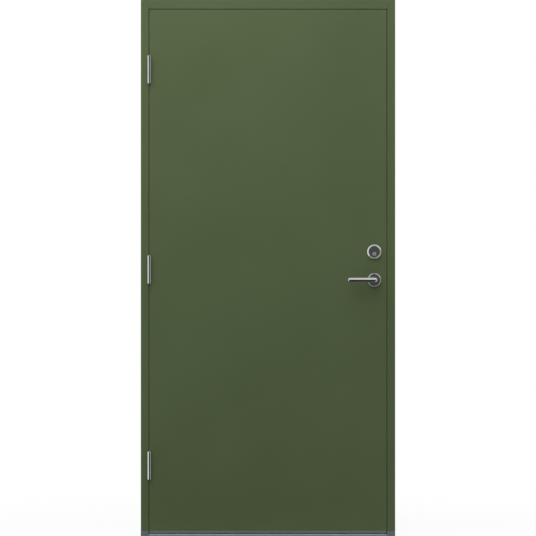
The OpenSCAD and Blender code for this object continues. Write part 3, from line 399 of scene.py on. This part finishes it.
def makeWool():
    p = wool
    material, board, sockets = newLook("mineralWool")
    fibre = board.noise(board.place(p["fibre"]), 1, 4, 0.7)
    clump = board.noise(board.place(), p["clumpScale"], 3)
    pattern = fibre * p["fibreShare"] + clump * (1 - p["fibreShare"])
    board.put(sockets["Base Color"], board.tone(p, pattern))
    board.put(sockets["Roughness"], p["rough"] + (fibre - 0.5) * p["fibreRough"])
    board.put(sockets["Normal"], board.bump(fibre, p["bump"], p["depth"]))
    return material


looks = {"greenPaint": makePaint(), "bareWood": makeWood(), "mineralWool": makeWool()}
families = (
    (makeBrushed, brushed), (makeCoated, coated), (makeTurned, turned),
    (makePlated, plated), (makeMoulded, moulded),
)
for make, family in families:
    for name, look in family["looks"].items():
        looks[name] = make(name, look)
print("materials:", len(looks))

# which finish each solid wears; those not named here are zinc plated
worn = {
    "greenPaint": ["hinge_jamb", "lock_jamb", "frame_head", "hinge_stop", "lock_stop", "head_stop",
                   "outer_skin", "inner_skin", "hinge_stile", "lock_stile", "top_rail"],
    "bareWood": ["bottom_rail"],
    "mineralWool": ["insulation_core"],
    "sillAluminium": ["sill_outer", "sill_inner"],
    "stripAluminium": ["bottom_strip"],
    "blackPlastic": ["sill_break"],
    "greyPlastic": ["end_block_hinge_side", "end_block_lock_side"],
    "sealRubber": ["seal_hinge_side", "seal_lock_side", "seal_head", "seal_sill", "drip_seal"],
    "brass": ["follower", "bolt_cam"],
    "hingeSteel": ["hinge_washers", "frame_hinge_bottom", "frame_hinge_middle", "frame_hinge_top",
                   "leaf_hinge_bottom", "leaf_hinge_middle", "leaf_hinge_top"],
    "leverSteel": ["outside_lever", "inside_lever"],
    "roseSteel": ["outside_rose", "inside_rose"],
    "ringSteel": ["cylinder_ring", "cylinder_body"],
    "turnSteel": ["turn_rose", "thumb_turn"],
    "plugNickel": ["key_plug"],
    "plateSteel": ["lock_forend", "strike_plate"],
}
finishOf = {name: look for look, names in worn.items() for name in names}
for name, solid in nodes.items():
    for slot in solid.material_slots:
        slot.material = looks[finishOf.get(name, "zincSteel")]
print("finishes set on", len(nodes), "solids")


def keep(name, mesh, body):
    piece = bpy.data.objects.new(name, mesh)
    scene.collection.objects.link(piece)
    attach(piece, body)
    return piece


def meshOf(work, name, look):
    mesh = bpy.data.meshes.new(name)
    work.to_mesh(mesh)
    work.free()
    mesh.materials.append(looks[look])
    return mesh


def joinRings(work, first, second):
    # a band of faces between two rings of as many points
    count = len(first)
    faces = []
    for k in range(count):
        n = (k + 1) % count
        faces.append(work.faces.new((first[k], first[n], second[n], second[k])))
    return faces


# half-round grip ribs on the threshold, between the stops
ribSets = {
    "sillRibsInner": {
        "Count": 5, "Length": 0.894, "Radius": 0.0008,
        "Start": (0, 0.0385, 0.02685), "Step": (0, 0.0038, -0.00131),
    },
    "sillRibsTop": {
        "Count": 3, "Length": 0.894, "Radius": 0.0008,
        "Start": (0, 0.0095, 0.0279), "Step": (0, 0.0042, 0),
    },
}


def ribTree():
    tree = bpy.data.node_groups.new("sillRibs", "GeometryNodeTree")
    inputs = {
        "Count": "Int", "Length": "Float", "Radius": "Float",
        "Start": "Vector", "Step": "Vector", "Finish": "Material",
    }
    for label, kind in inputs.items():
        tree.interface.new_socket(label, in_out="INPUT", socket_type="NodeSocket" + kind)
    tree.interface.new_socket("Geometry", in_out="OUTPUT", socket_type="NodeSocketGeometry")
    board = Board(tree)
    given = tree.nodes.new("NodeGroupInput")
    asked = {label: Wire(board, given.outputs[label]) for label in inputs}
    half = asked["Length"] * 0.5
    low = board.node("ShaderNodeCombineXYZ", None, {"X": half * -1})
    high = board.node("ShaderNodeCombineXYZ", None, {"X": half})
    line = board.node("GeometryNodeCurvePrimitiveLine", None, {"Start": low, "End": high})
    values = {"Resolution": 12, "Radius": asked["Radius"]}
    circle = board.node("GeometryNodeCurvePrimitiveCircle", None, values)
    values = {"Curve": line, "Profile Curve": circle, "Fill Caps": True}
    rib = board.node("GeometryNodeCurveToMesh", None, values)
    values = {"Count": asked["Count"], "Start Location": asked["Start"], "Offset": asked["Step"]}
    rows = board.node("GeometryNodeMeshLine", None, values)
    placed = board.node("GeometryNodeInstanceOnPoints", None, {"Points": rows, "Instance": rib})
    real = board.node("GeometryNodeRealizeInstances", None, {0: placed})
    values = {"Geometry": real, "Material": asked["Finish"]}
    done = board.node("GeometryNodeSetMaterial", None, values)
    board.put(tree.nodes.new("NodeGroupOutput").inputs["Geometry"], done)
    return tree


def grown(tree, values):
    # runs a geometry tree on an empty mesh and gives back the plain result
    holder = bpy.data.objects.new("holder", bpy.data.meshes.new("holder"))
    scene.collection.objects.link(holder)
    modifier = holder.modifiers.new("grow", "NODES")
    modifier.node_group = tree
    for item in tree.interface.items_tree:
        if item.in_out == "INPUT":
            modifier[item.identifier] = values[item.name]
    bpy.context.view_layer.update()
    evaluated = holder.evaluated_get(bpy.context.evaluated_depsgraph_get())
    mesh = bpy.data.meshes.new_from_object(evaluated)
    bpy.data.objects.remove(holder)
    return mesh


ribs = ribTree()
for name, sizes in ribSets.items():
    mesh = grown(ribs, {**sizes, "Finish": looks["sillAluminium"]})
    keep(name, mesh, "frame")
print("threshold ribs made")

# two ribs inside the keyway, one on each wall, behind the plug's front
wards = {
    "start": 0.003, "end": 0.0205, "wall": 0.0015, "reach": 0.0009, "round": 0.00012,
    "bands": [(1, 0.0006, 0.0018), (-1, -0.0018, -0.0006)],
}


def wardMesh():
    p = wards
    plug = middle("key_plug")
    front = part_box("key_plug")[0][1]
    work = bmesh.new()
    for side, low, high in p["bands"]:
        made = bmesh.ops.create_cube(work, size=1.0)
        size = Matrix.Diagonal((p["reach"], p["end"] - p["start"], high - low, 1))
        x = plug.x + side * (p["wall"] - p["reach"] / 2)
        y = front + (p["start"] + p["end"]) / 2
        z = plug.z + (low + high) / 2
        bmesh.ops.transform(work, matrix=Matrix.Translation((x, y, z)) @ size, verts=made["verts"])
    bmesh.ops.bevel(work, geom=work.edges[:], offset=p["round"], segments=2, affect="EDGES")
    return meshOf(work, "keywayWards", "plugNickel")


# short round screws under the necks of both levers, each with a hexagon socket
setScrew = {
    "fromLeaf": 0.0165, "radius": 0.0025, "rim": 0.0003, "proud": 0.0001, "deep": 0.003,
    "socket": 0.00125, "socketSpread": 1.15, "socketDepth": 0.0016, "sides": 36,
}


def screwMesh():
    p = setScrew
    x = middle("outside_rose").x
    outFace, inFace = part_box("outer_skin")[0][1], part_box("inner_skin")[1][1]
    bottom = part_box("outside_lever")[0][2] - p["proud"]
    turns = [2 * math.pi * k / p["sides"] for k in range(p["sides"])]
    sixth = math.pi / 3
    radii = [p["radius"]] * p["sides"]
    rimRadii = [p["radius"] - p["rim"]] * p["sides"]
    spread = p["socket"] * math.cos(sixth / 2) * p["socketSpread"]
    hexRadii = [spread / math.cos((t % sixth) - sixth / 2) for t in turns]
    levels = [
        (radii, bottom + p["deep"]), (radii, bottom + p["rim"]), (rimRadii, bottom),
        (hexRadii, bottom), (hexRadii, bottom + p["socketDepth"]),
    ]
    work = bmesh.new()
    for face, toward in ((outFace, -1), (inFace, 1)):
        y = face + toward * p["fromLeaf"]
        loops = []
        for reach, z in levels:
            spots = [(x + math.cos(t) * r, y + math.sin(t) * r, z) for t, r in zip(turns, reach)]
            loops.append([work.verts.new(spot) for spot in spots])
        for first, second in zip(loops, loops[1:]):
            joinRings(work, first, second)
        work.faces.new(loops[0])
        work.faces.new(loops[-1])
    bmesh.ops.recalc_face_normals(work, faces=work.faces[:])
    return meshOf(work, "leverSetScrews", "zincSteel")


# tight round corner over each lever's elbow, whose ends dive into the bar
leverCorner = {"leg": 0.0134, "tail": 0.0012, "skin": 0.000004, "dive": 0.00003, "turns": 24, "sides": 128}


def cornerMesh():
    p = leverCorner
    far = p["leg"] + p["tail"]
    angles = [2 * math.pi * k / p["sides"] for k in range(p["sides"])]
    quarter = math.pi / 2
    work = bmesh.new()
    for lever, front in (("outside_lever", -1), ("inside_lever", 1)):
        low, high = (Vector(corner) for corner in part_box(lever))
        radius = (high.z - low.z) / 2
        tipY = low.y if front < 0 else high.y
        corner = Vector((high.x - radius, tipY - front * radius, (low.z + high.z) / 2))
        toNeck, toGrip = Vector((0, -front, 0)), Vector((-1, 0, 0))
        steps = [(far * toNeck, 0, -p["dive"]), (p["leg"] * toNeck, 0, p["skin"])]
        steps += [(Vector(), quarter * k / p["turns"], p["skin"]) for k in range(p["turns"] + 1)]
        steps += [(p["leg"] * toGrip, quarter, p["skin"]), (far * toGrip, quarter, -p["dive"])]
        rings = []
        for shift, turn, proud in steps:
            outward = math.cos(turn) * -toGrip + math.sin(turn) * -toNeck
            sides = [math.cos(a) * outward + math.sin(a) * Vector((0, 0, 1)) for a in angles]
            rings.append([work.verts.new(corner + shift + (radius + proud) * side) for side in sides])
        for first, second in zip(rings, rings[1:]):
            for face in joinRings(work, first, second):
                face.smooth = True
        for ring in (rings[0], rings[-1]):
            for edge in work.faces.new(ring).edges:
                edge.smooth = False
    bmesh.ops.recalc_face_normals(work, faces=work.faces[:])
    return meshOf(work, "leverCorners", "leverSteel")


# the latch spring, which the handle presses together from its fixed end when it draws the latch; here it
# is only rebuilt with its doubled points joined
latchCoil = {"travel": 0.011, "join": 0.000001}


def coilMesh():
    work = bmesh.new()
    work.from_mesh(nodes["latch_spring"].data)
    work.transform(nodes["latch_spring"].matrix_world)
    bmesh.ops.remove_doubles(work, verts=work.verts[:], dist=latchCoil["join"])
    return meshOf(work, "latchCoil", "zincSteel")


coil = keep("latch_coil", coilMesh(), "leaf")
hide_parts("latch_spring")
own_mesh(coil)

keep("lever_corners", cornerMesh(), "handle")
keep("keyway_wards", wardMesh(), "plug")
keep("lever_set_screws", screwMesh(), "handle")
print("lever corners, wards and set screws made")

# camera far in front, level with the middle of the door
view = {"lens": 200, "sensor": 36, "height": 2.086, "middle": 1.0445, "frontFace": -0.0575, "farClip": 100}
eye = bpy.data.cameras.new("camera")
eye.lens, eye.sensor_width, eye.clip_end = view["lens"], view["sensor"], view["farClip"]
camera = bpy.data.objects.new("camera", eye)
camera.location = (0, view["frontFace"] - view["height"] * view["lens"] / view["sensor"], view["middle"])
camera.rotation_euler = (math.pi / 2, 0, 0)
scene.collection.objects.link(camera)
scene.camera = camera

# a wide soft lamp overhead on the left, a weak one in front, one behind
lamps = {
    "overhead": {"spot": (-0.9, -1.5, 4.0), "aim": (0, 0, 1.0), "size": (5.0, 2.5), "power": 142},
    "front": {"spot": (-2.2, -4.6, 3.2), "aim": (0, 0, 1.0), "size": (2.0, 2.0), "power": 37},
    "back": {"spot": (1.6, 3.4, 3.2), "aim": (0, 0, 1.1), "size": (2.2, 1.6), "power": 140},
}
for name, p in lamps.items():
    lamp = bpy.data.lights.new(name, "AREA")
    lamp.shape, lamp.energy = "RECTANGLE", p["power"]
    lamp.size, lamp.size_y = p["size"]
    holder = bpy.data.objects.new(name, lamp)
    holder.location = p["spot"]
    holder.rotation_euler = (Vector(p["aim"]) - Vector(p["spot"])).to_track_quat("-Z", "Y").to_euler()
    holder.visible_glossy = False  # metal mirrors the room instead
    scene.collection.objects.link(holder)

# white background; metal mirrors a room that is dark in front and bright above, behind and at the sides
room = {
    "ambient": 0.42, "above": 0.85, "left": 1.0, "right": 0.40, "front": 0.07, "back": 1.0, "rear": 0.9,
    "aboveSpan": (0.02, 0.45), "sideSpan": (0.5, 0.8), "backSpan": (0.0, 0.5), "rearSpan": (0.72, 0.95),
}


def roomSides(board, toward):
    # brightness of the room's left, right and back in a level direction
    x, y = board.parts(toward, "XY")
    left = board.span(x * -1, *room["sideSpan"]) * room["left"]
    right = board.span(x, *room["sideSpan"]) * room["right"]
    dimmed = 1 - board.span(y, *room["rearSpan"]) * room["rear"]
    back = board.span(y, *room["backSpan"]) * dimmed * room["back"]
    return left.most(right).most(back)


def makeRoom():
    world = bpy.data.worlds.new("room")
    scene.world = world
    world.use_nodes = True
    world.node_tree.nodes.clear()
    board = Board(world.node_tree)
    toward = board.node("ShaderNodeTexCoord", out="Generated")
    height = board.parts(toward, "Z")[0]
    above = board.span(height, *room["aboveSpan"]) * room["above"]
    seen = roomSides(board, toward).most(above).most(room["front"])
    eyeRay, mirrorRay, glassRay = board.rays()
    mirrored = mirrorRay * seen + (1 - mirrorRay) * room["ambient"]
    white = eyeRay.most(glassRay)
    strength = white + (1 - white) * mirrored
    glow = board.node("ShaderNodeBackground", None, {"Color": (1, 1, 1, 1), "Strength": strength})
    board.put(world.node_tree.nodes.new("ShaderNodeOutputWorld").inputs["Surface"], glow)


makeRoom()

# pale floor, which keeps the shadow and goes white to the camera away from the door; to metal it shows a
# painted reflection, a glow bright near the door and dark further off
floorLook = {
    "size": 30, "drop": 0.0006, "colour": (0.6, 0.6, 0.6, 1), "rough": 0.9,
    "whiteNear": 0.92, "whiteReach": (0.8, 2.6),
    "mirrorNear": 0.45, "mirrorFar": 0.03, "mirrorReach": (0.13, 0.32), "sideReach": (0.6, 1.2),
}


def makeFloor():
    p = floorLook
    material, board, sockets = newLook("paleFloor", Roughness=p["rough"], Base_Color=p["colour"])
    tree = material.node_tree
    at = board.place()
    reach = board.length(at)
    away = board.span(reach, *p["whiteReach"])
    ahead = board.length(board.place((0, 1, 0)))
    # painted reflection: what metal mirrors of the floor is a glow, bright near the door, dark further
    # ahead and as bright as the room at the sides
    dim = p["mirrorNear"] + board.span(ahead, *p["mirrorReach"]) * (p["mirrorFar"] - p["mirrorNear"])
    sides = roomSides(board, board.vector("NORMALIZE", at))
    dim = dim.most(sides * board.span(reach, *p["sideReach"]))
    eyeRay, mirrorRay = board.rays()[:2]
    lit = Wire(board, tree.nodes["Principled BSDF"].outputs[0])
    white = board.node("ShaderNodeEmission", None, {"Color": (1, 1, 1, 1), "Strength": 1.0})
    share = eyeRay * (p["whiteNear"] + away * (1 - p["whiteNear"]))
    shown = board.node("ShaderNodeMixShader", None, {0: share, 1: lit, 2: white})
    grey = board.node("ShaderNodeEmission", None, {"Color": (1, 1, 1, 1), "Strength": dim})
    mixed = board.node("ShaderNodeMixShader", None, {0: mirrorRay, 1: shown, 2: grey})
    board.put(tree.nodes["Material Output"].inputs["Surface"], mixed)
    half, z = p["size"] / 2, -p["drop"]
    corners = [(-half, -half, z), (half, -half, z), (half, half, z), (-half, half, z)]
    mesh = bpy.data.meshes.new("floor")
    mesh.from_pydata(corners, [], [(0, 1, 2, 3)])
    mesh.materials.append(material)
    floor = bpy.data.objects.new("floor", mesh)
    scene.collection.objects.link(floor)


makeFloor()
print("camera, lamps, room and floor set")
